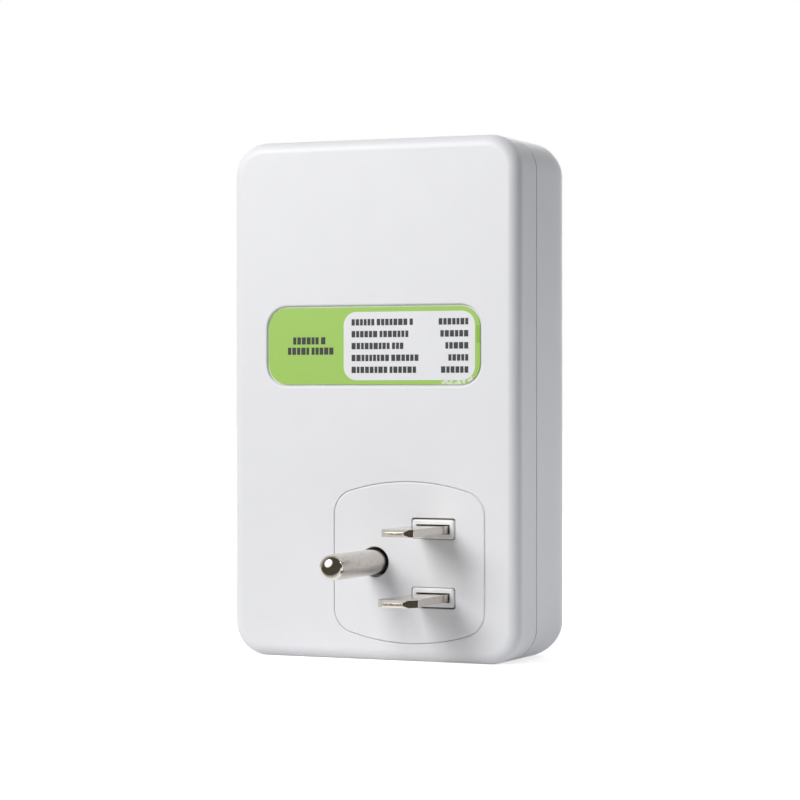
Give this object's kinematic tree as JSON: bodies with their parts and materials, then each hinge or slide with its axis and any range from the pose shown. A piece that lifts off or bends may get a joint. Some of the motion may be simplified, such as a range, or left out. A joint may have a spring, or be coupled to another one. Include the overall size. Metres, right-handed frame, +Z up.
{
  "type": "appliance voltage protector",
  "caption": "Plug-in adapter with plug blades and a round ground pin on its rear, an outlet on its front, and a relay board inside that cuts the appliance off.",
  "frame": {"origin": "on the ground pin's axis, in the plane of the rear face that lies against the wall socket", "axes": "+Y out of the rear face along the plug's pins, +Z up along the height, +X across the width towards the side further from the blades"},
  "size_m": [0.059, 0.0495, 0.098],
  "materials": {
    "shell_white": "fine matt moulded ABS",
    "carrier_white": "smooth moulded nylon",
    "plated_blade": "brushed nickel plate on brass",
    "plated_pin": "satin nickel plate on brass, polished tip",
    "label_green": "laminated printed film",
    "screw_steel": "zinc plated",
    "housing_grey": "moulded phenolic",
    "contact_brass": "rolled brass strip",
    "lens_clear": "clear polycarbonate",
    "lamp_body": "tinted epoxy",
    "board_green": "solder mask on glass epoxy",
    "relay_blue": "moulded case",
    "relay_black": "moulded base",
    "bobbin_white": "moulded nylon",
    "coil_copper": "enamelled copper wire",
    "relay_iron": "plated soft iron",
    "relay_spring_alloy": "copper alloy strip",
    "tinned_wire": "tinned",
    "film_yellow": "filled plastic box",
    "varistor_blue": "dipped epoxy",
    "can_sleeve": "shrunk sleeve on an aluminium can",
    "diode_black": "moulded epoxy",
    "resistor_beige": "lacquered",
    "resistor_green": "lacquered",
    "moulded_black": "moulded epoxy",
    "wire_black": "PVC insulation",
    "wire_red": "PVC insulation",
    "wire_white": "PVC insulation"
  },
  "bodies": {
    "casing": {"rear_shell": "shell_white", "front_shell": "shell_white", "plug_plate": "shell_white", "outlet_face": "shell_white", "blade_carrier": "carrier_white", "line_blade": "plated_blade", "neutral_blade": "plated_blade", "ground_pin": "plated_pin", "rating_label": "label_green", "status_label": "label_green", "case_screws": "screw_steel", "board_screws": "screw_steel", "contact_housing": "housing_grey", "line_contact": "contact_brass", "neutral_contact": "contact_brass", "ground_contact": "contact_brass", "lamp_lenses": "lens_clear", "status_lamps": "lamp_body", "main_board": "board_green", "relay_case": "relay_blue", "relay_base": "relay_black", "relay_bobbin": "bobbin_white", "relay_coil": "coil_copper", "relay_core": "relay_iron", "relay_yoke": "relay_iron", "relay_fixed_contact": "relay_spring_alloy", "relay_coil_pins": "tinned_wire", "film_capacitor": "film_yellow", "surge_varistor": "varistor_blue", "smoothing_capacitor": "can_sleeve", "filter_capacitor": "can_sleeve", "rectifier_diodes": "diode_black", "zener_diode": "diode_black", "flyback_diode": "diode_black", "power_resistors": "resistor_beige", "sensing_resistors": "resistor_beige", "fusible_resistor": "resistor_green", "voltage_regulator": "moulded_black", "relay_transistor": "moulded_black", "control_chip": "moulded_black", "line_in_wire": "wire_black", "line_out_wire": "wire_red", "neutral_wire": "wire_white"},
    "relay_armature": {"relay_armature": "relay_iron", "relay_contact_spring": "relay_spring_alloy"}
  },
  "joints": [
    {"name": "armature_hinge", "type": "hinge", "parent": "casing", "child": "relay_armature", "pos_m": [0.0028, -0.0079, 0.03055], "axis": [0, 0, 1], "range_deg": [0, 4], "stiffness_Nm_per_rad": 0.02, "springref_deg": -3.44}
  ]
}
